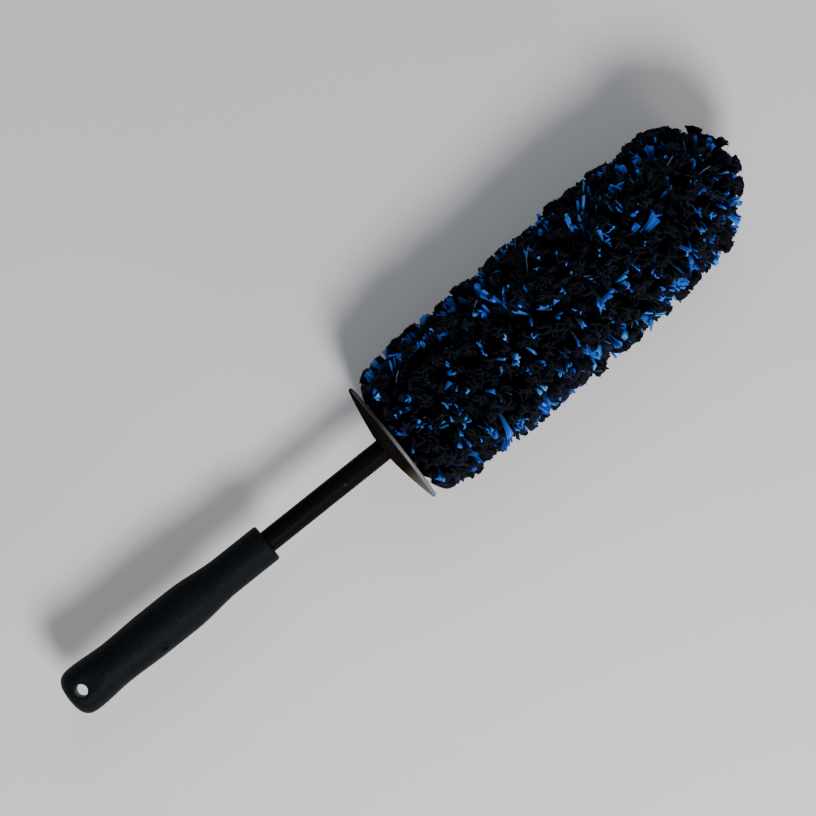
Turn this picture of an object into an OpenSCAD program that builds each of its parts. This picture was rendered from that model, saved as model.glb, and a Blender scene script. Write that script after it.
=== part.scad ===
// Wheel brush: a soft grip on a stiff shaft, a dished guard disc, and a tufted
// microfibre head carried by a twisted wire core that bends.
// The brush lies on the flattened underside of its pile.  +X runs from the butt
// of the grip to the tip, +Z is up, and the head is set a little towards +Y.

/* [Grip] */
// Length of the grip sleeve
grip_len = 134; // [115:1:165]
// Diameter of the slim front stretch
grip_front_d = 21.8; // [18:0.2:24]
// Diameter of the palm swell
grip_palm_d = 26.2; // [24:0.2:32]
// Diameter of the waist behind the palm swell
grip_waist_d = 24.8; // [23:0.2:30]
// Diameter of the flared butt
grip_butt_d = 27; // [24:0.2:34]
// Thickness across the two flats of the butt
butt_flat_t = 24; // [20:0.5:27]
// Diameter of the hanging hole
hang_d = 7.2; // [4:0.2:9]
// Distance of the hanging hole from the end of the butt
hang_inset = 8.6; // [7:0.2:12]

/* [Shaft] */
// Outer diameter of the shaft tube
shaft_d = 12.6; // [10.5:0.1:15.2]
// Wall of the shaft tube
shaft_wall = 1.5; // [1:0.1:2.2]
// Bare shaft between the grip and the rim of the guard disc
neck_len = 86; // [60:1:120]
// Diameter of the cross pin that locks the wire socket
pin_d = 2.5; // [1.6:0.1:3.2]
// Distance of the cross pin behind the rim of the guard disc
pin_back = 34.4; // [24:0.2:45]
// Turn of the cross pin about the shaft, from upright
pin_turn = 17; // [0:1:60]

/* [Guard disc] */
// Diameter of the guard disc
guard_d = 73.7; // [60:0.1:90]
// Depth of the guard's dish
guard_depth = 4.8; // [3:0.1:8]
// Thickness of the guard's wall
guard_t = 2; // [1.4:0.1:3]
// Diameter of the guard's hub
hub_d = 19; // [17:0.5:24]

/* [Wire core] */
// Diameter of one wire strand
wire_d = 2.8; // [2:0.1:3.4]
// Length of one full twist of the two strands
twist_len = 16; // [12:1:30]
// Bend of the head from root to tip, in degrees
head_bend = 5.6; // [1:0.2:12]

/* [Pile] */
// Length of the pile along the wire
pile_len = 236; // [190:1:290]
// Diameter over the pile
pile_d = 81; // [66:0.5:100]
// How much less the first band of pile measures across, next to the guard
root_slim = 3.5; // [0:0.5:6]
// Length of the domed tip
tip_len = 42; // [35:1:52]
// How far the pile's underside is flattened by its own rest
pile_flat = 2.3; // [1:0.1:2.6]
// Angle that the head may bend to either side, in degrees
flex_angle = 12; // [6:1:15]

/* [Hidden] */
$fn = 64;
NUDGE = 0.5;             // overrun of every cut
SLEEVE_FIT = 0.05;       // radial clearance of what is pushed on or in
WIRE_FIT = 0.1;          // radial clearance round the twisted wires
BAND_GAP = 0.6;          // gap between neighbouring bands of pile
FLEX_SPARE = 0.35;       // angle kept free past the end of the bend, each side

// Colours
RUBBER_GREY = [0.055, 0.06, 0.07];
SHAFT_BLACK = [0.03, 0.03, 0.035];
SMOKE_BROWN = [0.10, 0.085, 0.075];
STEEL_GREY = [0.62, 0.63, 0.65];
PILE_BLACK = [0.015, 0.015, 0.02];
PILE_BLUE = [0.02, 0.14, 0.42];

// Stations along the grip, from the end of the butt
BUTT_X = 11;             // widest point of the butt
WAIST_X = 32;            // narrowest point behind the palm
PALM_REAR_X = 58;        // palm swell starts
PALM_FRONT_X = 76;       // palm swell ends
FRONT_STRAIGHT = 27;     // slim front stretch, from the front face
FRONT_ROUND = 1.4;       // rounding of the front edge
BUTT_POWER = 3.0;        // squareness of the butt's end
FLAT_END_X = 17;         // the butt's flats are level up to here
FLAT_FADE_X = 36;        // and have run out into the round grip here

// Places along the shaft
TUBE_START = 22;         // rear end of the tube, inside the grip
PLUG_FLANGE_T = 2;       // flange of the rear plug
PLUG_SPIGOT = 12;        // stretch of the rear plug inside the tube
TUBE_OUT = 2.4;          // tube in front of the guard's rim
SOCKET_TAIL = 12;        // socket behind the cross pin
PIN_WEB = 1.2;           // socket wall between the pin and the wires' bore
WIRE_END_PLAY = 1;       // bore left behind the wires' ends
plug_start = TUBE_START - PLUG_FLANGE_T;
rim_x = grip_len + neck_len;
tube_front = rim_x + TUBE_OUT;
pile_start = tube_front + BAND_GAP;
shaft_r = shaft_d / 2;
tube_r = shaft_r - shaft_wall;
insert_r = tube_r - SLEEVE_FIT;
pin_x = rim_x - pin_back;
socket_start = pin_x - SOCKET_TAIL;

// Twisted pair
STRAND_SPARE = 0.05;     // half the gap between the two strands
wire_r = wire_d / 2;
strand_off = wire_r + STRAND_SPARE;
pair_r = strand_off + wire_r;
wire_bore_r = pair_r + WIRE_FIT;
wire_start = pin_x + pin_d / 2 + PIN_WEB + WIRE_END_PLAY;
CAP_BACK = 24;           // the cap's mouth lies this far behind the tip
CAP_LEN = 13;
CAP_WALL = 2;
CAP_FLOOR = 2.4;
CAP_PLAY = 1;            // gap between the wires' loop and the cap's floor
cap_r = wire_bore_r + CAP_WALL;

// Guard
guard_r = guard_d / 2;
rim_edge_r = guard_t / 2;
hub_r = hub_d / 2;
guard_back = rim_x - guard_t - guard_depth;
CLIP_T = 1.2;            // retaining clip's thickness
CLIP_WALL = 2.2;
CLIP_GROOVE = 0.4;       // depth of the clip's groove in the tube
CLIP_LAND = 1.2;         // tube in front of the groove
CLIP_GAP_W = 4;          // opening of the clip
clip_back = tube_front - CLIP_LAND - CLIP_T;
hub_front = clip_back - SLEEVE_FIT;

// Head: an arc that leaves the shaft's axis at the start of the pile
BANDS = 12;
TIP_SLIM = 1.5;          // the dome starts this much inside the last band
bend_r = pile_len * 180 / (PI * head_bend);
band_pitch = (pile_len - tip_len) / BANDS;
band_len = band_pitch - BAND_GAP;
BAND_CHAMFER = 1.6;
relief_angle = flex_angle / 2 + FLEX_SPARE;
pile_r = pile_d / 2;
tip_r = pile_r - TIP_SLIM;
root_r = pile_r - root_slim / 2;
axis_z = max(pile_r - pile_flat, guard_r);
tip_x = pile_start + bend_r * sin(head_bend);
side_low = -max(pile_r, guard_r);
last_band_turn = head_bend * (BANDS - 0.5) * band_pitch / pile_len;
side_high = max(bend_r * (1 - cos(last_band_turn)) + pile_r, guard_r);
shift_x = -tip_x / 2;
shift_y = -(side_low + side_high) / 2;

// Smooth 0 to 1 step
function ease(t) = (1 - cos(180 * t)) / 2;

// Points of a profile that eases from one radius to another
function eased(x0, r0, x1, r1, steps) = [
    for (i = [1 : steps]) [x0 + (x1 - x0) * i / steps, r0 + (r1 - r0) * ease(i / steps)]
];

// Point of the arc at a length s from the start of the pile, with its turn
function turn_at(s) = head_bend * s / pile_len;
function arc_x(s) = pile_start + bend_r * sin(turn_at(s));
function arc_y(s) = bend_r * (1 - cos(turn_at(s)));

// Centreline of the wires: straight in the socket, then the arc
function line_point(s) = s < 0 ? [pile_start + s, 0] : [arc_x(s), arc_y(s)];
function line_turn(s) = s < 0 ? 0 : turn_at(s);

// Row frame: the axis of the shaft at rest
module on_axis() {
    translate([shift_x, shift_y, axis_z]) children();
}

// Turns a profile of [x, radius] points about the X axis
module turned(profile) {
    rotate([0, 90, 0]) rotate([0, 0, 90]) rotate_extrude()
        polygon([for (p = profile) [p[1], p[0]]]);
}

// A plain round bar along X
module bar(x0, x1, r) {
    translate([x0, 0, 0]) rotate([0, 90, 0]) cylinder(h = x1 - x0, r = r);
}

// Local frame of the head at a length s along the arc
module at_arc(s) {
    translate([arc_x(s), arc_y(s), 0]) rotate([0, 0, turn_at(s)]) children();
}

// Everything below the surface that the brush lies on
module below_rest() {
    translate([grip_len, -pile_d, -axis_z - pile_d])
        cube([tip_x, 3 * pile_d, pile_d]);
}

// ---- Handle ----

function grip_profile() = concat(
    [[0, 0]],
    [for (a = [10 : 10 : 90])
        [BUTT_X * (1 - pow(max(cos(a), 0), 2 / BUTT_POWER)),
         grip_butt_d / 2 * pow(sin(a), 2 / BUTT_POWER)]],
    eased(BUTT_X, grip_butt_d / 2, WAIST_X, grip_waist_d / 2, 6),
    eased(WAIST_X, grip_waist_d / 2, PALM_REAR_X, grip_palm_d / 2, 6),
    eased(PALM_FRONT_X, grip_palm_d / 2,
        grip_len - FRONT_STRAIGHT, grip_front_d / 2, 8),
    [for (a = [0 : 30 : 90])
        [grip_len - FRONT_ROUND * (1 - sin(a)),
         grip_front_d / 2 - FRONT_ROUND * (1 - cos(a))]],
    [[grip_len, 0]]
);

// Side view of the grip, level across the butt and running out to full round
module grip_side_view() {
    flat = butt_flat_t / 2;
    full = max(grip_butt_d, grip_palm_d) / 2 + NUDGE;
    upper = concat([[-NUDGE, flat], [FLAT_END_X, flat]],
        eased(FLAT_END_X, flat, FLAT_FADE_X, full, 8), [[grip_len + NUDGE, full]]);
    rotate([90, 0, 0]) linear_extrude(height = 2 * full, center = true)
        polygon(concat(upper, [for (i = [len(upper) - 1 : -1 : 0]) [upper[i][0], -upper[i][1]]]));
}

module grip() {
    color(RUBBER_GREY) on_axis() difference() {
        intersection() {
            turned(grip_profile());
            grip_side_view();
        }
        bar(plug_start - SLEEVE_FIT, grip_len + NUDGE, shaft_r + SLEEVE_FIT);
        translate([hang_inset, 0, -grip_butt_d])
            cylinder(h = 2 * grip_butt_d, r = hang_d / 2);
    }
}

module shaft_tube() {
    color(SHAFT_BLACK) on_axis() difference() {
        bar(TUBE_START, tube_front, shaft_r);
        bar(TUBE_START - NUDGE, tube_front + NUDGE, tube_r);
        pin_place(pin_d / 2 + SLEEVE_FIT, shaft_d + 2 * NUDGE);
        difference() {
            bar(clip_back - SLEEVE_FIT, clip_back + CLIP_T + SLEEVE_FIT, shaft_r + NUDGE);
            bar(clip_back - NUDGE, clip_back + CLIP_T + NUDGE, shaft_r - CLIP_GROOVE);
        }
    }
}

module rear_plug() {
    color(SHAFT_BLACK) on_axis() union() {
        bar(plug_start, TUBE_START, shaft_r);
        bar(plug_start, TUBE_START + PLUG_SPIGOT, insert_r);
    }
}

// The cross pin's own axis, turned about the shaft
module pin_place(r, length) {
    translate([pin_x, 0, 0]) rotate([pin_turn, 0, 0])
        cylinder(h = length, r = r, center = true);
}

module stem_socket() {
    color(SHAFT_BLACK) on_axis() difference() {
        bar(socket_start, tube_front, insert_r);
        bar(wire_start - WIRE_END_PLAY, tube_front + NUDGE, wire_bore_r);
        pin_place(pin_d / 2 + SLEEVE_FIT, shaft_d + 2 * NUDGE);
    }
}

module cross_pin() {
    // its ends stop just under the round of the shaft
    pin_len = 2 * sqrt(pow(shaft_r, 2) - pow(pin_d / 2, 2));
    color(STEEL_GREY) on_axis() pin_place(pin_d / 2, pin_len);
}

// ---- Guard ----

// Wall of the dish, from the hub out to the rounded rim and back along the front
function guard_profile() = concat(
    [[guard_back, shaft_r + SLEEVE_FIT], [guard_back, hub_r]],
    [for (a = [0 : 30 : 180])
        [rim_x - rim_edge_r - rim_edge_r * cos(a),
         guard_r - rim_edge_r + rim_edge_r * sin(a)]],
    [[guard_back + guard_t, hub_r], [hub_front, hub_r],
     [hub_front, shaft_r + SLEEVE_FIT]]
);

module guard_disc() {
    color(SMOKE_BROWN) on_axis() turned(guard_profile());
}

module guard_clip() {
    inner = shaft_r - CLIP_GROOVE + SLEEVE_FIT;
    color(STEEL_GREY) on_axis() difference() {
        bar(clip_back, clip_back + CLIP_T, inner + CLIP_WALL);
        bar(clip_back - NUDGE, clip_back + CLIP_T + NUDGE, inner);
        translate([clip_back - NUDGE, -CLIP_GAP_W / 2, 0])
            cube([CLIP_T + 2 * NUDGE, CLIP_GAP_W, shaft_d]);
    }
}

// ---- Wire core ----

WIRE_SIDES = 8;
STEPS_PER_TWIST = 8;
wire_front = pile_len - CAP_BACK + CAP_LEN - CAP_FLOOR - CAP_PLAY - pair_r;
wire_back = wire_start - pile_start;
twist_steps = round((wire_front - wire_back) / twist_len * STEPS_PER_TWIST);

// Strand centre at a length s, on the side given by phase
function strand_point(s, phase) =
    let (p = line_point(s), t = line_turn(s), a = 360 * (s - wire_back) / twist_len + phase)
    [p[0] - strand_off * cos(a) * sin(t),
     p[1] + strand_off * cos(a) * cos(t),
     strand_off * sin(a)];

// Out along one strand, round the end loop, and back along the other
function loop_point(a) =
    let (s = wire_front, p = line_point(s), t = line_turn(s),
         twist = 360 * (s - wire_back) / twist_len,
         side = strand_off * cos(a), ahead = strand_off * sin(a))
    [p[0] + ahead * cos(t) - side * cos(twist) * sin(t),
     p[1] + ahead * sin(t) + side * cos(twist) * cos(t),
     side * sin(twist)];

function wire_path() =
    let (step = (wire_front - wire_back) / twist_steps)
    concat(
        [for (i = [0 : twist_steps]) strand_point(wire_back + i * step, 0)],
        [for (a = [30 : 30 : 150]) loop_point(a)],
        [for (i = [twist_steps : -1 : 0]) strand_point(wire_back + i * step, 180)]
    );

function unit(v) = v / norm(v);

// Direction of the path at each of its points
function path_way(p, i) = unit(p[min(i + 1, len(p) - 1)] - p[max(i - 1, 0)]);

// A frame that is carried from point to point with no twist of its own
function carried(ways, i, last) =
    let (side = unit(last - (last * ways[i]) * ways[i]))
    i == len(ways) - 1 ? [side] : concat([side], carried(ways, i + 1, side));

module swept(path, r, sides) {
    ways = [for (i = [0 : len(path) - 1]) path_way(path, i)];
    firsts = carried(ways, 0, [0, 1, 0]);
    rings = [for (i = [0 : len(path) - 1], k = [0 : sides - 1])
        let (u = firsts[i], v = cross(ways[i], u), a = 360 * k / sides)
        path[i] + r * (cos(a) * u + sin(a) * v)];
    last = (len(path) - 1) * sides;
    polyhedron(
        points = rings,
        faces = concat(
            [[for (k = [0 : sides - 1]) k]],
            [for (i = [0 : len(path) - 2], k = [0 : sides - 1])
                let (a = i * sides + k, b = i * sides + (k + 1) % sides)
                [b, a, a + sides, b + sides]],
            [[for (k = [sides - 1 : -1 : 0]) last + k]]
        ),
        convexity = 10
    );
}

module core_wire() {
    color(STEEL_GREY) on_axis() swept(wire_path(), wire_r, WIRE_SIDES);
}

module tip_cap() {
    back = -CAP_LEN;
    nose = cap_r / 2;
    color(SHAFT_BLACK) on_axis() at_arc(pile_len - CAP_BACK + CAP_LEN)
        difference() {
            turned(concat(
                [[back, 0], [back, cap_r]],
                [for (a = [0 : 15 : 90]) [nose * (sin(a) - 1), cap_r * cos(a)]]
            ));
            bar(back - NUDGE, -CAP_FLOOR, wire_bore_r);
        }
}

// ---- Pile ----

// A band of pile, chamfered, with faces relieved by the angles given
module band(r, back_relief, front_relief) {
    half = band_len / 2;
    back = -half + r * tan(back_relief);
    front = half - r * tan(front_relief);
    turned([
        [-half + wire_bore_r * tan(back_relief), wire_bore_r],
        [back - BAND_CHAMFER * tan(back_relief), r - BAND_CHAMFER],
        [back + BAND_CHAMFER, r],
        [front - BAND_CHAMFER, r],
        [front + BAND_CHAMFER * tan(front_relief), r - BAND_CHAMFER],
        [half - wire_bore_r * tan(front_relief), wire_bore_r]
    ]);
}

// The bend is between the first band, which stays with the handle, and the second
module pile_band(k) {
    r = k == 0 ? root_r : pile_r;
    color(k % 2 == 0 ? PILE_BLACK : PILE_BLUE) on_axis() difference() {
        at_arc((k + 0.5) * band_pitch)
            band(r, k == 1 ? relief_angle : 0, k == 0 ? relief_angle : 0);
        below_rest();
    }
}

// Rounded end of the pile, hollow for the wires and their cap
module pile_tip() {
    half = tip_len / 2;
    base = BAND_GAP / 2 - half + tip_r * tan(turn_at(half));
    bore_end = half - CAP_BACK + CAP_LEN + WIRE_FIT;
    color(PILE_BLUE) on_axis() difference() {
        at_arc(pile_len - half) difference() {
            turned(concat(
                [[base, 0]],
                [for (a = [0 : 7.5 : 90]) [base + (half - base) * sin(a), tip_r * cos(a)]]
            ));
            bar(base - NUDGE, bore_end, cap_r + WIRE_FIT);
        }
        below_rest();
    }
}

grip();
shaft_tube();
rear_plug();
stem_socket();
cross_pin();
guard_disc();
guard_clip();
core_wire();
tip_cap();
pile_band(0);  // pile_01
pile_band(1);  // pile_02
pile_band(2);  // pile_03
pile_band(3);  // pile_04
pile_band(4);  // pile_05
pile_band(5);  // pile_06
pile_band(6);  // pile_07
pile_band(7);  // pile_08
pile_band(8);  // pile_09
pile_band(9);  // pile_10
pile_band(10);  // pile_11
pile_band(11);  // pile_12
pile_tip();
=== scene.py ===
"""Looks of the wheel brush: smooth handle parts and a tufted microfibre head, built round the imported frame.

Lengths are in metres, in the row frame: +X from the butt of the grip to the tip of the head, +Z up, and the
head is set towards +Y.
"""
import math

import bmesh
import bpy
import numpy as np
from mathutils import Matrix, Vector


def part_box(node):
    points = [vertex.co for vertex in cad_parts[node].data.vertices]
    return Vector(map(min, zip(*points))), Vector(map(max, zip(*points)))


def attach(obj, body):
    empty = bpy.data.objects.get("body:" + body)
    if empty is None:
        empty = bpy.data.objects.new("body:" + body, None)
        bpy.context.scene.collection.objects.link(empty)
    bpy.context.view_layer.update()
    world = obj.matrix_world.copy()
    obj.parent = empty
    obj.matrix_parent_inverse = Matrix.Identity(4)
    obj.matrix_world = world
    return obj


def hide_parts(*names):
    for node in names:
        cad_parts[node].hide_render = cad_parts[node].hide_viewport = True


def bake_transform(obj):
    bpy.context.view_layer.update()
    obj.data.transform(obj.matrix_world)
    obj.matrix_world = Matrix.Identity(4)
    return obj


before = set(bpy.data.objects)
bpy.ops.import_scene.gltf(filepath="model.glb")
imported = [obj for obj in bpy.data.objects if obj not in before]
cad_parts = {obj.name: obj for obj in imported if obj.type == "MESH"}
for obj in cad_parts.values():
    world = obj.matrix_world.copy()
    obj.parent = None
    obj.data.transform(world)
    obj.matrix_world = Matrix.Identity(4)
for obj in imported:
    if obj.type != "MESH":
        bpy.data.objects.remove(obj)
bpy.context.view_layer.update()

MM = 0.001


# ---- Places, read from the frame, and the head's outline ----

def span(node):
    low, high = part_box(node)
    return Vector(low), Vector(high)


grip_low, grip_high = span("grip")
tube_low, tube_high = span("shaft_tube")
guard_low, guard_high = span("guard_disc")
plug_low, plug_high = span("rear_plug")
pin_low, pin_high = span("cross_pin")
last_low, last_high = span("pile_12")
tip_low, tip_high = span("pile_tip")

AXIS_Y = (tube_low.y + tube_high.y) / 2
AXIS_Z = (tube_low.z + tube_high.z) / 2
SHAFT_R = (tube_high.z - tube_low.z) / 2
GUARD_R = (guard_high.z - guard_low.z) / 2
RIM_X = guard_high.x
BAND_GAP = 0.6 * MM
PILE_X = tube_high.x + BAND_GAP

# The head's centreline is an arc that leaves the shaft's axis at PILE_X
last_mid = (last_low + last_high) / 2
last_turn = 2 * math.atan2(last_mid.y - AXIS_Y, last_mid.x - PILE_X)
ARC_R = (last_mid.x - PILE_X) / math.sin(last_turn)
PILE_LEN = ARC_R * math.asin((tip_high.x - PILE_X) / ARC_R)
TIP_LEN = 42 * MM
PILE_R = 40.5 * MM
TIP_R = 38 * MM
TIP_POWER = 1.25          # how the tip's radius falls along its quarter turn
START_R = 29.5 * MM       # the pile is slimmer where the guard holds it
START_EASE = 4.5 * MM
MID_SWELL = 1.6 * MM      # the pile is a little fuller half way along
BANDS = 12
BAND_PITCH = (PILE_LEN - TIP_LEN) / BANDS

# A scar in the grip's side: its place from the end of the butt and its turn about the grip
SCAR_AT = 56.6 * MM
SCAR_TURN = math.radians(142)
SCAR_OFF_AXIS = 12.6 * MM
SCAR_PLACE = (grip_low.x + SCAR_AT, AXIS_Y + SCAR_OFF_AXIS * math.cos(SCAR_TURN),
              AXIS_Z + SCAR_OFF_AXIS * math.sin(SCAR_TURN))


def centre(s):
    """Points of the head's centreline at lengths s from the start of the pile."""
    s = np.asarray(s, float)
    turn = np.maximum(s, 0) / ARC_R
    x = PILE_X + np.minimum(s, 0) + ARC_R * np.sin(turn)
    y = AXIS_Y + ARC_R * (1 - np.cos(turn))
    return np.stack([x, y, np.full_like(x, AXIS_Z)], -1)


def ahead(s):
    """Unit directions of the centreline at lengths s."""
    turn = np.maximum(np.asarray(s, float), 0) / ARC_R
    return np.stack([np.cos(turn), np.sin(turn), np.zeros_like(turn)], -1)


def aside(s):
    """Unit directions square to the centreline, in the plane of the bend."""
    turn = np.maximum(np.asarray(s, float), 0) / ARC_R
    return np.stack([-np.sin(turn), np.cos(turn), np.zeros_like(turn)], -1)


UP = np.array([0.0, 0.0, 1.0])


def outer_radius(s):
    """Radius of the pile's body at lengths s, without the rounding of the tip."""
    s = np.asarray(s, float)
    swell = MID_SWELL * np.exp(-((s - 0.55 * PILE_LEN) / (0.2 * PILE_LEN)) ** 2)
    return START_R + (PILE_R - START_R) * (1 - np.exp(-s / START_EASE)) + swell


# ---- Camera ----

CAMERA_DISTANCE = 1.5
CAMERA_TILT = math.radians(3.0)   # towards the handle, which shows the guard's back
CAMERA_ROLL = math.radians(38.54) # the shaft's angle in the picture
FRAME_WIDTH = 436.7 * MM          # what the picture spans at the brush
AIM = Vector((0.0079, 0.0056, AXIS_Z))


def add_camera():
    data = bpy.data.cameras.new("camera")
    data.sensor_width = 36
    data.lens = 36 * CAMERA_DISTANCE / FRAME_WIDTH
    cam = bpy.data.objects.new("camera", data)
    bpy.context.scene.collection.objects.link(cam)
    back = Vector((-math.sin(CAMERA_TILT), 0, math.cos(CAMERA_TILT)))
    right = Vector((math.cos(CAMERA_ROLL), -math.sin(CAMERA_ROLL), 0))
    right = (right - right.dot(back) * back).normalized()
    up = back.cross(right)
    place = AIM + CAMERA_DISTANCE * back
    cam.matrix_world = Matrix((
        (right.x, up.x, back.x, place.x),
        (right.y, up.y, back.y, place.y),
        (right.z, up.z, back.z, place.z),
        (0, 0, 0, 1),
    ))
    bpy.context.scene.camera = cam


add_camera()


# ---- Materials ----

class Paint:
    """A node material, with short calls for the nodes that it is made of."""

    def __init__(self, name):
        self.material = bpy.data.materials.new(name)
        self.material.use_nodes = True
        self.nodes = self.material.node_tree.nodes
        self.links = self.material.node_tree.links
        self.shader = self.nodes["Principled BSDF"]

    def add(self, kind, inputs=(), **settings):
        node = self.nodes.new(kind)
        for key, value in settings.items():
            setattr(node, key, value)
        for key, value in dict(inputs).items():
            if isinstance(value, bpy.types.NodeSocket):
                self.links.new(value, node.inputs[key])
            else:
                node.inputs[key].default_value = value
        return node

    def set(self, **values):
        for key, value in values.items():
            socket = self.shader.inputs[key.replace("_", " ")]
            if isinstance(value, bpy.types.NodeSocket):
                self.links.new(value, socket)
            else:
                socket.default_value = value

    def place(self, scale=(1, 1, 1), turn=(0, 0, 0)):
        """Object coordinates, in metres, stretched by scale."""
        coord = self.add("ShaderNodeTexCoord").outputs["Object"]
        return self.add("ShaderNodeMapping", {"Vector": coord, "Scale": scale, "Rotation": turn}).outputs[0]

    def strand(self, scale=(1, 1, 1)):
        """The strand map: across the strands in u, along them in v."""
        uv = self.add("ShaderNodeUVMap", uv_map="Strand").outputs[0]
        return self.add("ShaderNodeMapping", {"Vector": uv, "Scale": scale}).outputs[0]

    def noise(self, vector, scale, detail=3.0, rough=0.55):
        node = self.add("ShaderNodeTexNoise", {"Vector": vector, "Scale": scale, "Detail": detail,
                                               "Roughness": rough})
        return node.outputs["Fac"]

    def ramp(self, fac, stops):
        node = self.add("ShaderNodeValToRGB", {"Fac": fac})
        points = node.color_ramp.elements
        while len(points) < len(stops):
            points.new(0.5)
        for point, (at, colour) in zip(points, stops):
            point.position = at
            point.color = colour if len(colour) == 4 else (*colour, 1)
        return node.outputs["Color"]

    def between(self, fac, low, high):
        node = self.add("ShaderNodeMapRange", {"Value": fac, "To Min": low, "To Max": high})
        return node.outputs["Result"]

    def mix(self, fac, a, b, blend="MIX"):
        node = self.add("ShaderNodeMix", data_type="RGBA", blend_type=blend)
        for socket, value in ((node.inputs[0], fac), (node.inputs[6], a), (node.inputs[7], b)):
            if isinstance(value, bpy.types.NodeSocket):
                self.links.new(value, socket)
            else:
                socket.default_value = value if socket == node.inputs[0] else (*value, 1)
        return node.outputs[2]

    def bump(self, height, depth, under=None):
        """Bump of a height that runs from 0 to 1 over depth metres."""
        inputs = {"Height": height, "Distance": depth, "Strength": 1.0}
        if under is not None:
            inputs["Normal"] = under
        return self.add("ShaderNodeBump", inputs).outputs["Normal"]


def rubber():
    """Soft matt rubber with a mottled leathery grain, dusty where hands rub it, with painted shade darkening the
    dent of its scar.
    """
    p = Paint("grip_rubber")
    dust = p.noise(p.place(), 38, 4)
    grain = p.noise(p.place(), 1150, 3, 0.7)
    pores = p.add("ShaderNodeTexVoronoi", {"Vector": p.place(), "Scale": 700.0}).outputs["Distance"]
    colour = p.ramp(dust, [(0.3, (0.0014, 0.0021, 0.0027)), (0.7, (0.0030, 0.0042, 0.0052))])
    raised = p.ramp(grain, [(0.4, (0, 0, 0)), (0.72, (1, 1, 1))])
    # painted shade: the colour darkens inside the scar's dent
    off_scar = p.add("ShaderNodeVectorMath", {0: p.place(), 1: SCAR_PLACE}, operation="DISTANCE").outputs["Value"]
    scar_shade = p.add("ShaderNodeMapRange", {"Value": off_scar, "From Min": 0.9 * MM, "From Max": 2.3 * MM,
                                           "To Min": 1.0, "To Max": 0.0}).outputs["Result"]
    grained = p.mix(raised, colour, (0.0092, 0.0122, 0.0142))
    p.set(Base_Color=p.mix(scar_shade, grained, (0.0006, 0.0006, 0.0010)),
          Roughness=p.between(dust, 0.42, 0.6),
          Specular_IOR_Level=0.042,
          Specular_Tint=(0.8, 0.92, 1.0, 1.0),
          Normal=p.bump(pores, 0.0001, p.bump(grain, 0.00016)))
    return p.material


def satin_plastic():
    """Extruded black plastic: satin, with faint lengthwise drag lines and specks of dust."""
    p = Paint("shaft_plastic")
    drag = p.noise(p.place((6, 1400, 1400)), 1, 2)
    specks = p.noise(p.place(), 900, 1)
    cloud = p.noise(p.place(), 55, 3)
    colour = p.ramp(specks, [(0.0, (0.0022, 0.0022, 0.0026)), (0.72, (0.0040, 0.0040, 0.0048)),
                             (0.8, (0.009, 0.009, 0.0105))])
    p.set(Base_Color=colour,
          Roughness=p.between(cloud, 0.32, 0.46),
          Specular_IOR_Level=0.017,
          Normal=p.bump(drag, 0.00002))
    return p.material


def smoke_plastic():
    """Glossy smoke-brown moulded plastic with fine scratches, a painted highlight along its rim that is brightest
    towards -Y, and a warm painted highlight over the -Y side of its dish.
    Its gloss fades at a grazing view, so that it doesn't mirror what it lies on."""
    p = Paint("guard_plastic")
    scratch = p.noise(p.place((1, 1, 14)), 190, 4)
    cloud = p.noise(p.place(), 70, 2)
    colour = p.ramp(cloud, [(0.3, (0.0075, 0.0058, 0.0044)), (0.7, (0.0125, 0.0098, 0.0078))])
    across = p.add("ShaderNodeSeparateXYZ", {"Vector": p.place()}).outputs["Y"]
    # side runs from 0 to 1 towards -Y, over the part of the dish that gets the warm painted highlight
    side = p.add("ShaderNodeMapRange", {"Value": across, "From Min": AXIS_Y - 0.014,
                                        "From Max": AXIS_Y - 0.035}).outputs["Result"]
    # a warm painted highlight over the dish's -Y side, mixed over the plastic's colour
    side_highlight_colour = p.ramp(side, [(0.0, (0.020, 0.016, 0.012)), (0.6, (0.126, 0.106, 0.080)),
                         (1.0, (0.200, 0.178, 0.164))])
    side_highlighted = p.mix(p.ramp(side, [(0.0, (0, 0, 0)), (0.35, (1, 1, 1))]), colour, side_highlight_colour)
    off_axis = p.add("ShaderNodeVectorMath", {0: p.place((0, 1, 1)), 1: (0, AXIS_Y, AXIS_Z)},
                     operation="DISTANCE")
    radius = off_axis.outputs["Value"]
    # rim: where the painted highlight along the rim's outer edge lies
    rim = p.add("ShaderNodeMapRange", {"Value": radius, "From Min": GUARD_R - 1.4 * MM,
                                       "From Max": GUARD_R - 0.5 * MM}).outputs["Result"]
    # low_side and edge: the colour of the rim's painted highlight, dark at +Y and pale towards -Y
    low_side = p.add("ShaderNodeMapRange", {"Value": across, "From Min": AXIS_Y + 0.012,
                                            "From Max": AXIS_Y - 0.004}).outputs["Result"]
    edge = p.ramp(low_side, [(0.0, (0.016, 0.016, 0.018)), (1.0, (0.125, 0.136, 0.152))])
    # the rim's painted highlight over the plastic's colour
    rim_highlighted = p.mix(rim, side_highlighted, edge)
    facing = p.add("ShaderNodeLayerWeight", {"Blend": 0.5}).outputs["Facing"]
    gloss = p.add("ShaderNodeMapRange", {"Value": facing, "From Min": 0.3, "From Max": 0.72,
                                         "To Min": 0.35, "To Max": 0.0}).outputs["Result"]
    p.set(Base_Color=rim_highlighted,
          Roughness=p.between(scratch, 0.16, 0.3),
          Specular_IOR_Level=gloss,
          Specular_Tint=(1.0, 0.88, 0.76, 1.0),
          Normal=p.bump(scratch, 0.000012))
    return p.material


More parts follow.
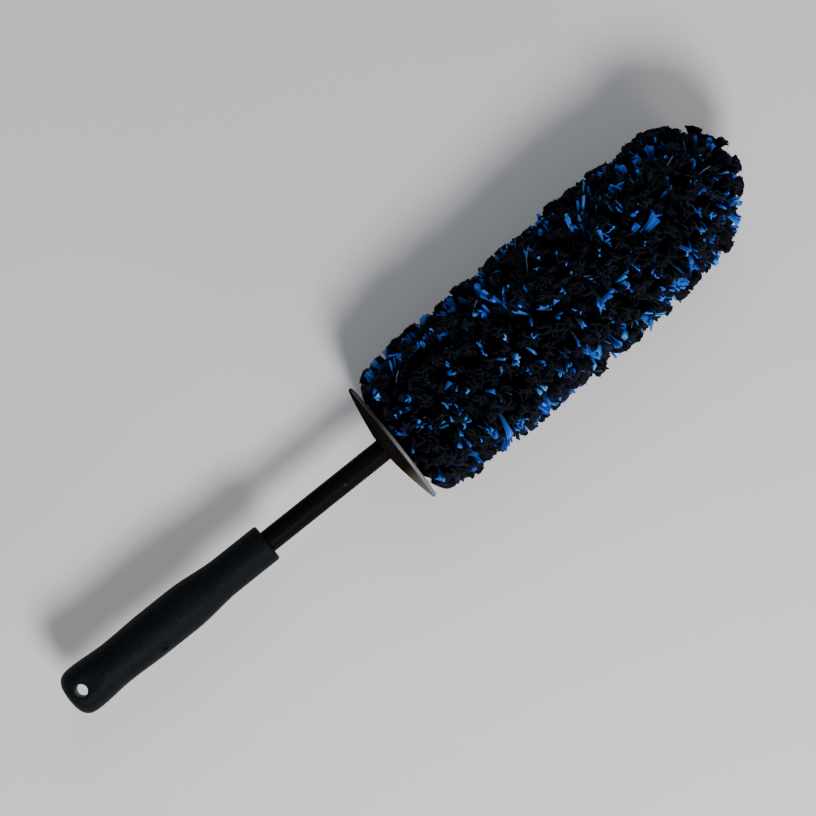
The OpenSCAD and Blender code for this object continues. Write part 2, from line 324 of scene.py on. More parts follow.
def drawn_steel():
    """Bright drawn wire with lengthwise lines."""
    p = Paint("steel")
    lines = p.noise(p.place((30, 900, 900)), 1, 3)
    p.set(Base_Color=p.ramp(lines, [(0.25, (0.14, 0.145, 0.15)), (0.75, (0.27, 0.275, 0.285))]),
          Metallic=1.0,
          Roughness=p.between(lines, 0.4, 0.55),
          Normal=p.bump(lines, 0.00001))
    return p.material


def dull_steel():
    """Blackened steel, gone grey with wear on its dome."""
    p = Paint("pin_steel")
    wear = p.noise(p.place(), 1700, 3)
    p.set(Base_Color=p.ramp(wear, [(0.35, (0.004, 0.004, 0.004)), (0.65, (0.016, 0.016, 0.0155))]),
          Metallic=1.0,
          Roughness=p.between(wear, 0.38, 0.55),
          Normal=p.bump(wear, 0.00001))
    return p.material


STRAND_BINS = 32  # shades that strands are dyed in; the strand map has a column for each


def microfibre(name, shades, glint, sheen, fade, streak):
    """Split microfibre: a shade per petal, painted shade darkening it towards the root, and painted glints along
    its fibre lines. fade is where along a petal its painted root shade ends; streak multiplies the colour of its
    darker locks."""
    p = Paint(name)
    uv = p.add("ShaderNodeSeparateXYZ", {"Vector": p.strand()})
    fibres = p.noise(p.strand((STRAND_BINS * 26, 1.2, 1)), 1, 3)
    locks = p.noise(p.strand((STRAND_BINS * 6, 0.7, 1)), 1, 2)
    shade = p.ramp(uv.outputs["X"], shades)
    # painted shade: each petal darkens towards its root, where the pile shades itself
    root_shaded = p.mix(p.ramp(uv.outputs["Y"], [(fade[0], (1, 1, 1)), (fade[1], (0, 0, 0))]),
                   shade, (0.12, 0.12, 0.16), "MULTIPLY")
    streaked = p.mix(p.ramp(locks, [(0.36, (1, 1, 1)), (0.6, (0, 0, 0))]), root_shaded, streak, "MULTIPLY")
    # painted highlight: glint colour added along the fibre lines
    glinted = p.mix(p.ramp(fibres, [(0.42, (0, 0, 0)), (0.72, (1, 1, 1))]), streaked, glint, "ADD")
    p.set(Base_Color=glinted,
          Roughness=p.between(fibres, 0.5, 0.85),
          Specular_IOR_Level=0.08,
          Sheen_Weight=sheen,
          Sheen_Roughness=0.4,
          Normal=p.bump(fibres, 0.00015))
    return p.material


RUBBER = rubber()
SATIN = satin_plastic()
SMOKE = smoke_plastic()
STEEL = drawn_steel()
DULL_STEEL = dull_steel()
# after its shades: the colour of a pile's painted fibre glints, its sheen, where its painted root shade ends, and
# its locks' streak
PILE_BLACK = microfibre(
    "pile_black",
    [(0.0, (0.0011, 0.0015, 0.0028)), (0.6, (0.0019, 0.0028, 0.0060)), (0.9, (0.0032, 0.0064, 0.0180)),
     (1.0, (0.007, 0.020, 0.060))],
    (0.0034, 0.0056, 0.0135), 0.008, (0.5, 0.9), (0.6, 0.6, 0.65))
PILE_BLUE = microfibre(
    "pile_blue",
    [(0.0, (0.012, 0.03, 0.32)), (0.3, (0.022, 0.09, 0.66)), (0.65, (0.036, 0.22, 0.93)),
     (0.86, (0.06, 0.36, 1.0)), (0.96, (0.14, 0.44, 0.96)), (0.972, (0.25, 0.26, 0.38))],
    (0.0, 0.11, 0.14), 0.08, (0.62, 0.985), (0.14, 0.24, 0.46))


# ---- Mesh helpers ----

def link(name, mesh, material):
    """A new object with this mesh and material."""
    piece = bpy.data.objects.new(name, mesh)
    bpy.context.scene.collection.objects.link(piece)
    mesh.materials.clear()
    mesh.materials.append(material)
    return piece


def quads_mesh(name, points, faces, smooth=True):
    """A mesh of quads from arrays of points and of corner numbers."""
    mesh = bpy.data.meshes.new(name)
    mesh.vertices.add(len(points))
    mesh.vertices.foreach_set("co", np.asarray(points, np.float32).ravel())
    mesh.loops.add(faces.size)
    mesh.loops.foreach_set("vertex_index", faces.ravel().astype(np.int32))
    mesh.polygons.add(len(faces))
    mesh.polygons.foreach_set("loop_start", np.arange(0, faces.size, 4, dtype=np.int32))
    mesh.polygons.foreach_set("use_smooth", np.full(len(faces), smooth))
    mesh.update(calc_edges=True)
    return mesh


def join_rings(bm, rings):
    """Faces between each ring of vertices and the next; a ring of one vertex is a point."""
    for a, b in zip(rings[:-1], rings[1:]):
        count = max(len(a), len(b))
        for k in range(count):
            n = (k + 1) % count
            if len(a) == 1:
                bm.faces.new((a[0], b[k], b[n]))
            elif len(b) == 1:
                bm.faces.new((a[k], b[0], a[n]))
            else:
                bm.faces.new((a[k], b[k], b[n], a[n]))


def closed_mesh(name, bm):
    """The mesh of a closed bmesh, its faces turned outwards."""
    bmesh.ops.recalc_face_normals(bm, faces=bm.faces)
    mesh = bpy.data.meshes.new(name)
    bm.to_mesh(mesh)
    bm.free()
    return mesh


def rod(name, middle, way, side, stations, segments):
    """A closed solid turned about a line through middle along way, from [distance, radius] stations."""
    other = way.cross(side)
    bm = bmesh.new()
    rings = []
    for h, r in stations:
        turns = [2 * math.pi * k / segments for k in range(segments)] if r > 1e-9 else [0.0]
        rings.append([bm.verts.new(middle + h * way + r * (math.cos(a) * side + math.sin(a) * other))
                      for a in turns])
    join_rings(bm, rings)
    for ring in (rings[0], rings[-1]):
        if len(ring) > 1:
            bm.faces.new(ring)
    return closed_mesh(name, bm)


def lathe(name, profile, segments, shape=None):
    """A closed solid turned about the shaft's axis from [x, radius] points; ends on the axis are fans.
    shape may move the points of each ring."""
    bm = bmesh.new()
    rings = []
    for x, r in profile:
        if r < 1e-9:
            rings.append([bm.verts.new((x, AXIS_Y, AXIS_Z))])
            continue
        ring = []
        for k in range(segments):
            a = 2 * math.pi * k / segments
            y, z = r * math.cos(a), r * math.sin(a)
            if shape:
                y, z = shape(x, y, z)
            ring.append(bm.verts.new((x, AXIS_Y + y, AXIS_Z + z)))
        rings.append(ring)
    join_rings(bm, rings)
    if len(rings[0]) > 1 and len(rings[-1]) > 1:
        join_rings(bm, [rings[-1], rings[0]])
    return closed_mesh(name, bm)


def shade_by_angle(piece, degrees):
    """Smooth faces, with edges sharper than this kept crisp."""
    piece.data.shade_smooth()
    bpy.context.view_layer.update()
    bm = bmesh.new()
    bm.from_mesh(piece.data)
    for edge in bm.edges:
        edge.smooth = len(edge.link_faces) == 2 and edge.calc_face_angle(0) < math.radians(degrees)
    bm.to_mesh(piece.data)
    bm.free()


def cut(piece, cutter):
    """Cuts cutter's shape out of piece, for good."""
    modifier = piece.modifiers.new("cut", "BOOLEAN")
    modifier.operation = "DIFFERENCE"
    modifier.solver = "EXACT"
    modifier.object = cutter
    bpy.context.view_layer.update()
    done = bpy.data.meshes.new_from_object(piece.evaluated_get(bpy.context.evaluated_depsgraph_get()))
    piece.modifiers.clear()
    piece.data = done
    bpy.data.objects.remove(cutter)


def ease(t):
    return (1 - math.cos(math.pi * t)) / 2


def eased(x0, r0, x1, r1, steps):
    """Profile points that ease from one radius to another, the first left out."""
    return [(x0 + (x1 - x0) * i / steps, r0 + (r1 - r0) * ease(i / steps)) for i in range(1, steps + 1)]


def rounded(x, r, size, start, end, steps):
    """Profile points on a quarter round about (x, r), from one angle to another in degrees."""
    angles = [math.radians(start + (end - start) * i / steps) for i in range(steps + 1)]
    return [(x + size * math.cos(a), r + size * math.sin(a)) for a in angles]


# ---- Grip ----

BUTT_R = 13.5 * MM
WAIST_R = 12.4 * MM
PALM_R = 13.1 * MM
FRONT_R = 10.9 * MM
BUTT_LEN = 11 * MM
WAIST_AT = 32 * MM        # from the end of the butt, as the next three are
PALM_REAR_AT = 58 * MM
PALM_MID_AT = 64 * MM     # the outline has close rings up to here, for the scar
PALM_FRONT_AT = 76 * MM
FRONT_LEN = 27 * MM
FRONT_EDGE = 1.4 * MM
MOUTH_EDGE = 0.5 * MM
BUTT_POWER = 3.0          # of the superellipse that the butt's dome follows
BUTT_FLAT = 12 * MM       # half of the thickness between the butt's flats
FLATS_FROM = 14 * MM      # the flats fade out from here over FLATS_FADE
FLATS_FADE = 30 * MM
FLATS_EASE = 0.9 * MM
FULL_HALF = 20 * MM       # more than the grip's radius
SCAR_HALF = 1.7 * MM
SCAR_SPREAD = 0.10        # in radians about the grip
SCAR_DEEP = 1.2 * MM
SCAR_LIP = 0.3 * MM
HANG_R = 3.6 * MM
HANG_FLARE = 0.7 * MM     # round of the hanging hole's rim
HANG_X = grip_low.x + 8.6 * MM
SLEEVE_FIT = 0.05 * MM


def grip_profile():
    """Half outline of the grip: domed butt, waist, palm swell, slim front, then back along its bore."""
    butt = grip_low.x
    front = grip_high.x
    outline = [(butt, 0.0)]
    for i in range(1, 25):
        a = math.radians(3.75 * i)
        outline.append((butt + BUTT_LEN * (1 - max(math.cos(a), 0) ** (2 / BUTT_POWER)),
                        BUTT_R * math.sin(a) ** (2 / BUTT_POWER)))
    stations = [(butt + BUTT_LEN, BUTT_R, 0), (butt + WAIST_AT, WAIST_R, 16), (butt + PALM_REAR_AT, PALM_R, 40),
                (butt + PALM_MID_AT, PALM_R, 14), (butt + PALM_FRONT_AT, PALM_R, 4),
                (front - FRONT_LEN, FRONT_R, 14), (front - FRONT_EDGE, FRONT_R, 8)]
    for (x0, r0, _), (x1, r1, steps) in zip(stations[:-1], stations[1:]):
        outline += eased(x0, r0, x1, r1, steps)
    outline += rounded(front - FRONT_EDGE, FRONT_R - FRONT_EDGE, FRONT_EDGE, 78, 0, 5)
    bore = SHAFT_R + SLEEVE_FIT
    outline += [(front, bore + MOUTH_EDGE)]
    outline += rounded(front - MOUTH_EDGE, bore + MOUTH_EDGE, MOUTH_EDGE, -30, -90, 2)
    steps = 12
    back = plug_low.x - SLEEVE_FIT
    outline += [(front + (back - front) * i / steps, bore) for i in range(1, steps + 1)]
    return outline + [(back, 0.0)]


def grip_shape(x, y, z):
    """Eases the butt's upper and lower faces down to its flats, and dents one edge like a scar of its mould."""
    from_butt = x - grip_low.x
    limit = BUTT_FLAT + (FULL_HALF - BUTT_FLAT) * ease(min(max((from_butt - FLATS_FROM) / FLATS_FADE, 0), 1))
    over = abs(z) - limit
    if over > -FLATS_EASE:
        pressed = (over + FLATS_EASE) ** 2 / (4 * FLATS_EASE) if over < FLATS_EASE else over
        z = math.copysign(abs(z) - pressed, z)
    radius = math.hypot(y, z)
    if radius > SHAFT_R + MM:
        away = ((from_butt - SCAR_AT) / SCAR_HALF) ** 2 + ((math.atan2(z, y) - SCAR_TURN) / SCAR_SPREAD) ** 2
        dent = SCAR_DEEP * math.exp(-away) - SCAR_LIP * math.exp(-2 * abs(away - 2))
        y *= 1 - dent / radius
        z *= 1 - dent / radius
    return y, z


def add_grip():
    mesh = lathe("grip_sleeve", grip_profile(), 144, grip_shape)
    piece = link("grip_sleeve", mesh, RUBBER)
    # the cutter flares at both mouths, which rounds the rim of the hole
    half = BUTT_FLAT
    stations = [(-half - 4 * MM, HANG_R + HANG_FLARE + 2 * MM), (-half - 0.02 * MM, HANG_R + HANG_FLARE)]
    stations += [(-half + HANG_FLARE * (1 - math.cos(a)), HANG_R + HANG_FLARE * (1 - math.sin(a)))
                 for a in (math.radians(15 * i) for i in range(1, 7))]
    stations += [(-h, r) for h, r in reversed(stations)]
    cutter_mesh = rod("hang_cutter", Vector((HANG_X, AXIS_Y, AXIS_Z)), Vector((0, 0, 1)), Vector((1, 0, 0)),
                      stations, 48)
    cutter = bpy.data.objects.new("hang_cutter", cutter_mesh)
    bpy.context.scene.collection.objects.link(cutter)
    cut(piece, cutter)
    shade_by_angle(piece, 40)
    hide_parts("grip")
    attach(piece, "handle")


# ---- Shaft ----

def add_shaft():
    wall = 1.5 * MM
    edge = 0.3 * MM
    inner = SHAFT_R - wall
    start, end = tube_low.x, tube_high.x
    steps = 40
    profile = [(start, inner), (start, SHAFT_R - edge), (start + edge, SHAFT_R)]
    profile += [(start + edge + (end - start - 2 * edge) * i / steps, SHAFT_R) for i in range(1, steps + 1)]
    profile += [(end, SHAFT_R - edge), (end, inner)]
    profile += [(end + (start - end) * i / steps, inner) for i in range(1, steps)]
    piece = link("shaft", lathe("shaft", profile, 96), SATIN)
    shade_by_angle(piece, 30)
    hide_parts("shaft_tube")
    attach(piece, "handle")


def add_cross_pin():
    """The pin's domed ends stand just proud of the shaft."""
    turn = math.radians(17)
    way = Vector((0, -math.sin(turn), math.cos(turn)))
    radius = (pin_high.x - pin_low.x) / 2
    half = SHAFT_R - 0.05 * MM
    dome = 0.35 * MM
    stations = [(half + dome, 0.0)]
    stations += [(half + dome * math.cos(a), radius * math.sin(a)) for a in
                 (math.radians(15 * i) for i in range(1, 7))]
    stations += [(-h, r) for h, r in reversed(stations)]
    mesh = rod("pin", (pin_low + pin_high) / 2, way, Vector((1, 0, 0)), stations, 32)
    piece = link("pin", mesh, DULL_STEEL)
    shade_by_angle(piece, 40)
    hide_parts("cross_pin")
    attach(piece, "handle")


# ---- Guard ----

def add_guard():
    """A dished disc with a rounded rim, a hub that stands inside the dish, and a soft root round the shaft."""
    bore = SHAFT_R + SLEEVE_FIT
    wall = 2 * MM
    hub_r = 9.5 * MM
    hollow = 0.35 * MM        # how far the dish's faces sag below a straight slope
    hub_edge = 0.3 * MM
    back = guard_low.x
    edge = wall / 2
    slope_steps = 14
    rim_mid = (RIM_X - edge, GUARD_R - edge)
    back_start = (back, hub_r)
    profile = [(back + 0.1 * MM, bore), (back, bore + 0.2 * MM), back_start]
    rim_back = (rim_mid[0] - edge, rim_mid[1])
    for i in range(1, slope_steps):
        t = i / slope_steps
        sag = hollow * math.sin(math.pi * t)
        profile.append((back_start[0] + (rim_back[0] - back_start[0]) * t - sag,
                        back_start[1] + (rim_back[1] - back_start[1]) * t))
    profile += rounded(*rim_mid, edge, 180, 0, 10)
    front_end = (back + wall, hub_r + 0.4 * MM)
    rim_front = (rim_mid[0] + edge, rim_mid[1])
    for i in range(1, slope_steps + 1):
        t = i / slope_steps
        sag = hollow * math.sin(math.pi * t)
        profile.append((rim_front[0] + (front_end[0] - rim_front[0]) * t - sag,
                        rim_front[1] + (front_end[1] - rim_front[1]) * t))
    hub_front = RIM_X - 0.05 * MM
    profile += [(back + wall + 0.4 * MM, hub_r), (hub_front - hub_edge, hub_r),
                (hub_front, hub_r - hub_edge), (hub_front, bore)]
    piece = link("guard", lathe("guard", profile, 160), SMOKE)
    shade_by_angle(piece, 35)
    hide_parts("guard_disc")
    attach(piece, "handle")


# ---- Wire core ----

def add_wire_core():
    """One hairpin wire twisted on itself: out along one strand, round the end loop and back."""
    wire_low, _ = span("core_wire")
    wire_r = 1.4 * MM
    off = wire_r + 0.05 * MM
    twist = 16 * MM
    start = wire_low.x + 0.6 * MM - PILE_X
    end = PILE_LEN - 17.25 * MM       # inside the cap, with room for the loop
    sides = 12
    steps = 260
    s = np.linspace(start, end, steps)
    turn = 2 * np.pi * (s - start) / twist
    out = centre(s) + off * (np.cos(turn)[:, None] * aside(s) + np.sin(turn)[:, None] * UP)
    home = centre(s) - off * (np.cos(turn)[:, None] * aside(s) + np.sin(turn)[:, None] * UP)
    a = np.radians(np.arange(20, 161, 20))[:, None]
    across = math.cos(turn[-1]) * aside(end) + math.sin(turn[-1]) * UP
    loop = centre(end) + off * (np.cos(a) * across + np.sin(a) * ahead(end))
    path = np.concatenate([out, loop, home[::-1]])
    way = np.gradient(path, axis=0)
    way /= np.linalg.norm(way, axis=1, keepdims=True)
    side = np.array([0.0, 1.0, 0.0])
    rings = []
    for p, w in zip(path, way):
        side = side - (side @ w) * w
        side /= np.linalg.norm(side)
        other = np.cross(w, side)
        angle = 2 * np.pi * np.arange(sides) / sides
        rings.append(p + wire_r * (np.cos(angle)[:, None] * side + np.sin(angle)[:, None] * other))
    points = np.concatenate(rings)
    i, k = np.meshgrid(np.arange(len(path) - 1), np.arange(sides), indexing="ij")
    a0 = (i * sides + k).ravel()
    a1 = (i * sides + (k + 1) % sides).ravel()
    faces = np.stack([a0, a1, a1 + sides, a0 + sides], 1)
    mesh = quads_mesh("wires", points, faces)
    bm = bmesh.new()
    bm.from_mesh(mesh)
    bm.verts.ensure_lookup_table()
    bm.faces.new([bm.verts[j] for j in range(sides)])
    bm.faces.new([bm.verts[len(points) - sides + j] for j in range(sides)])
    bmesh.ops.recalc_face_normals(bm, faces=bm.faces)
    bm.to_mesh(mesh)
    bm.free()
    piece = link("wires", mesh, STEEL)
    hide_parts("core_wire")
    return piece


# ---- Pile ----

rng = np.random.default_rng(41)

ROOT_OFF = 3.3 * MM       # tufts leave the twisted wires here
ROWS = np.array([0.0, 0.5, 0.76, 0.91, 1.0])
COLS = 7
FLOOR_GAP = 0.25 * MM
TIP_SET = 1.0 * MM        # how far the tip's tufts lie over towards +Y
BACK_FILL = 2.4 * MM      # how far the first tufts reach back towards the guard's dish


def unit(v):
    return v / np.linalg.norm(v, axis=-1, keepdims=True)


class Petals:
    """A set of petals. Each value is an array over petals: its tuft, root, direction and length, how it drifts
    and stands off, the direction of its width, its sizes at the end, and how it curls, frays and rounds off."""

    def __init__(self, **values):
        self.__dict__.update(values)


def surface_spots(count, spare):
    """Spots spread evenly over the head: the length along the wire of each tuft's root, and its tip's place
    as a length and a radius, with its angle round the head."""
    theta = np.linspace(0, math.pi / 2, 400)
    dome_s = PILE_LEN - TIP_LEN + TIP_LEN * np.sin(theta)
    dome_r = TIP_R * np.cos(theta) ** TIP_POWER
    step = np.hypot(np.diff(dome_s), np.diff(dome_r))
    dome_area = np.concatenate([[0], np.cumsum(step * (dome_r[1:] + dome_r[:-1]) / 2)])
    body_len = PILE_LEN - TIP_LEN
    body_area = body_len * PILE_R
    share = (np.arange(count) + rng.uniform(0.2, 0.8, count)) / count * (body_area + dome_area[-1])
    angle = np.arange(count) * math.radians(137.508) + rng.normal(0, spare, count)
    on_body = share < body_area
    dome_at = np.interp(share - body_area, dome_area, theta)
    body_s = share / PILE_R
    body_s = body_s - BACK_FILL * (1 - body_s / body_len)
    tip_s = np.where(on_body, body_s, PILE_LEN - TIP_LEN + TIP_LEN * np.sin(dome_at))
    body_r = outer_radius(tip_s) - (PILE_R - TIP_R) * np.clip((tip_s - body_len) / TIP_LEN + 1, 0, 1)
    tip_r = np.where(on_body, body_r, TIP_R * np.cos(dome_at) ** TIP_POWER)
    root_s = np.where(on_body, np.maximum(tip_s, 1.0 * MM), body_len + 27 * MM * np.sin(dome_at) ** 1.3)
    return root_s, tip_s, tip_r, angle


def tip_share(at):
    """0 over most of the head, rising to 1 over its last stretch, where the tufts are larger."""
    return np.clip((at - (PILE_LEN - TIP_LEN - 15 * MM)) / (30 * MM), 0, 1)


def scatter(count, spare, depth, uneven):
    """Tufts spread over the head, their tips sunk by about depth under the pile's outer shape: the root and the
    end of each, where along the head it ends, and the head's direction at its root."""
    root_s, tip_s, tip_r, angle = surface_spots(count, spare)
    depth = rng.normal(depth, uneven, count) * (1 + 0.8 * tip_share(tip_s))
    root_way = np.cos(angle)[:, None] * aside(root_s) + np.sin(angle)[:, None] * UP
    tip_way = np.cos(angle)[:, None] * aside(tip_s) + np.sin(angle)[:, None] * UP
    root = centre(root_s) + ROOT_OFF * root_way
    inward = unit(np.stack([tip_s - (PILE_LEN - TIP_LEN), tip_r], 1))
    on_dome = tip_s > PILE_LEN - TIP_LEN
    sink_s = np.where(on_dome, inward[:, 0], 0.0) * depth
    sink_r = np.where(on_dome, inward[:, 1], 1.0) * depth
    end = centre(tip_s - sink_s) + (tip_r - sink_r)[:, None] * tip_way
    return root, end, tip_s, ahead(root_s)


def grow(root, end, out, each, spread, lean, own_lean):
    """Splits every tuft into petals: each has its own turn about the tuft, and leans with it and by itself."""
    n = len(root)
    way = unit(end - root)
    length = np.linalg.norm(end - root, axis=1)
    first = unit(np.cross(way, out))
    second = np.cross(way, first)
    lead = rng.uniform(0, 2 * math.pi, n)
    push = np.abs(rng.normal(0, lean, n)) + lean * 0.35

    def across(angle, size):
        swing = np.cos(angle)[..., None] * first[:, None] + np.sin(angle)[..., None] * second[:, None]
        return size[..., None] * swing

    own = rng.uniform(0, 2 * math.pi, (n, each))
    drift = across(lead[:, None] * np.ones((1, each)), push[:, None] * np.ones((1, each)))
    drift = drift + across(own, np.abs(rng.normal(0, own_lean, (n, each))))
    turn = rng.uniform(0, 2 * math.pi, (n, 1)) + np.arange(each) * (math.pi / each)
    turn = turn + rng.normal(0, 0.35, (n, each))
    offset = across(turn + math.pi / 2, rng.uniform(0.3, 1.0, (n, each)) * spread)
    wide = across(turn, np.ones((n, each)))
    many = n * each

    def spread_out(a):
        return np.repeat(a, each, axis=0)

    return Petals(
        tuft=np.repeat(np.arange(n), each),
        root=spread_out(root), way=spread_out(way),
        length=spread_out(length) * (1 + rng.normal(0, 0.012, many)),
        drift=drift.reshape(many, 3), offset=offset.reshape(many, 3), wide=wide.reshape(many, 3))


def petal_points(petals, bow):
    """Corner points of every petal: petals, rows, corners round the section, xyz. A petal is a closed
    fan-shaped sheet with ribs; its end is rounded and frayed."""
    n = len(petals.root)
    p = np.linspace(-1, 1, COLS)[None, :] + rng.normal(0, 0.07, (n, COLS))
    ribs = 0.62 + 0.38 * (np.arange(COLS) % 2)
    edge = np.array([0.45] + [1.0] * (COLS - 2) + [0.45])
    half = petals.thick[:, None] / 2 * ribs * edge * rng.uniform(0.75, 1.25, (n, COLS))
    fray = rng.normal(0, 1, (n, COLS)) * petals.fray[:, None] - petals.round[:, None] * p ** 2
    curl = petals.curl[:, None] * petals.width[:, None] * (p ** 2 - 0.4)
    stray = rng.normal(0, 0.05, (n, COLS)) * petals.width[:, None]
    t = ROWS[None, :, None]
    flare = t ** petals.flare[:, None, None]
    width = petals.root_width + (petals.width[:, None, None] - petals.root_width) * flare
    thin = 0.35 + 0.65 * np.minimum(t * 1.3, 1)
    reach = petals.length[:, None, None] * t
    reach = reach + fray[:, None, :] * np.clip((t - 0.5) / 0.5, 0, 1)
    drop = petals.length[:, None, None] * t ** bow

    def per(a):
        return a[:, None, None, :]

    flat = np.cross(petals.way, petals.wide)
    # the sheet's own axes lean over with its drift
    slope = bow * (ROWS ** (bow - 1))[None, :, None]
    along = unit(petals.way[:, None, :] + slope * petals.drift[:, None, :])
    wide_row = petals.wide[:, None, :] - along * np.sum(along * petals.wide[:, None, :], -1, keepdims=True)
    wide_row = unit(wide_row)[:, :, None, :]
    flat_row = np.cross(along[:, :, None, :], wide_row)
    mid = per(petals.root) + per(petals.way) * reach[..., None] + per(petals.drift) * drop[..., None]
    mid = mid + per(petals.offset) * (t ** 1.5)[..., None]
    mid = mid + wide_row * (p[:, None, :] * width / 2)[..., None]
    mid = mid + flat_row * ((curl[:, None, :] + stray[:, None, :]) * flare)[..., None]
    shift = flat_row * (half[:, None, :] * thin)[..., None]
    return np.concatenate([mid + shift, (mid - shift)[:, :, ::-1]], axis=2)


def petal_mesh(name, points, bins):
    """One mesh of closed petals, with the strand map and the same map for baking."""
    n, rows, ring, _ = points.shape
    base = np.arange(n)[:, None, None] * rows * ring
    r, k = np.meshgrid(np.arange(rows - 1), np.arange(ring), indexing="ij")
    nxt = (k + 1) % ring
    quad = np.stack([r * ring + k, r * ring + nxt, (r + 1) * ring + nxt, (r + 1) * ring + k], -1)
    quad = quad.reshape(-1, 4)
    j = np.arange(COLS - 1)
    first = np.stack([ring - 1 - j, ring - 2 - j, j + 1, j], -1)
    last = (rows - 1) * ring + np.stack([j, j + 1, ring - 2 - j, ring - 1 - j], -1)
    one = np.concatenate([quad, first, last])[:, ::-1]  # the corners run so that every face looks outwards
    faces = (base + one[None]).reshape(-1, 4)
    mesh = quads_mesh(name, points.reshape(-1, 3), faces)
    t = ROWS
    u_quad = np.stack([k, k + 1, k + 1, k], -1).reshape(-1, 4) / ring
    v_quad = np.stack([t[r], t[r], t[r + 1], t[r + 1]], -1).reshape(-1, 4)
    u_cap = np.stack([j, j + 1, j + 1, j], -1) / (COLS - 1)
    low = np.broadcast_to([0.03, 0.03, 0.0, 0.0], u_cap.shape)
    high = np.broadcast_to([0.97, 0.97, 1.0, 1.0], u_cap.shape)
    u_one = np.concatenate([u_quad, u_cap, u_cap])[:, ::-1]
    v_one = np.concatenate([v_quad, low, high])[:, ::-1]
    u_all = (bins[:, None, None] + 0.04 + 0.92 * u_one[None]) / STRAND_BINS
    v_all = np.broadcast_to(0.01 + 0.98 * v_one[None], u_all.shape)
    uv = np.stack([u_all, v_all], -1).astype(np.float32).ravel()
    for map_name in ("Strand", "OFBake"):
        layer = mesh.uv_layers.new(name=map_name)
        layer.data.foreach_set("uv", uv)
    mesh.uv_layers["Strand"].active_render = True
    return mesh


def held_in(points, give):
    """Presses what stands out of the pile's outer shape back to it, so that no more than give is left over."""
    dx = points[..., 0] - PILE_X
    dy = points[..., 1] - (AXIS_Y + ARC_R)
    s = np.arctan2(dx, -dy) * ARC_R
    across = ARC_R - np.hypot(dx, dy)
    up = points[..., 2] - AXIS_Z
    radius = np.hypot(across, up) + 1e-9
    base = PILE_LEN - TIP_LEN
    limit = outer_radius(np.maximum(s, -0.5 * START_EASE))
    in_tip = s > base
    share = np.where(in_tip, (np.maximum(s - base, 0) / TIP_LEN) ** 2, 0)
    measure = np.sqrt(share + (radius / TIP_R) ** (2 / TIP_POWER))
    size = np.where(in_tip, TIP_R, limit)
    out = np.where(in_tip, measure * TIP_R, radius)
    over = np.maximum(out - size, 0)
    scale = np.where(over > 0, (size + give * (1 - np.exp(-over / give))) / out, 1.0)
    new_s = np.where(in_tip, base + (s - base) * scale, s)
    place = centre(new_s)
    side = aside(new_s)
    factor = (scale * across)[..., None]
    moved = place + factor * side
    moved[..., 2] += scale * up
    keep = (over <= 0)[..., None]
    return np.where(keep, points, moved)


def settle(points):
    """Presses the pile flat where it lies, and keeps it off the guard."""
    low = 3.0 * MM
    z = points[..., 2]
    pressed = FLOOR_GAP + (low - FLOOR_GAP) * np.exp((z - low) / (low - FLOOR_GAP))
    points[..., 2] = np.where(z < low, pressed, z)
    x = points[..., 0]
    near = RIM_X + 2.2 * MM
    stop = RIM_X + 0.6 * MM
    held = stop + (near - stop) * np.exp((x - near) / (near - stop))
    points[..., 0] = np.where(x < near, held, x)
    tip_reach = np.clip((x - (tip_low.x - 10 * MM)) / (30 * MM), 0, 1)
    points[..., 1] += TIP_SET * tip_reach ** 2 * (3 - 2 * tip_reach)
    return points


def band_of(s):
    """The number of the pile band that a length along the head falls in, the tip last."""
    return np.minimum((s / BAND_PITCH).astype(int), BANDS)


def size_petals(petals, width, thick, root_width, flare, curl, fray, bluntness):
    """Gives petals their sizes. The widths are as given; the rest is drawn from [low, high], and curl from its
    spread. Lengths in the ranges are in millimetres."""
    many = len(petals.root)
    petals.width = width
    petals.root_width = root_width * MM
    petals.thick = rng.uniform(*thick, many) * MM
    petals.flare = rng.uniform(*flare, many)
    petals.curl = rng.normal(0, curl, many)
    petals.fray = rng.uniform(*fray, many) * MM
    petals.round = rng.uniform(*bluntness, many) * MM


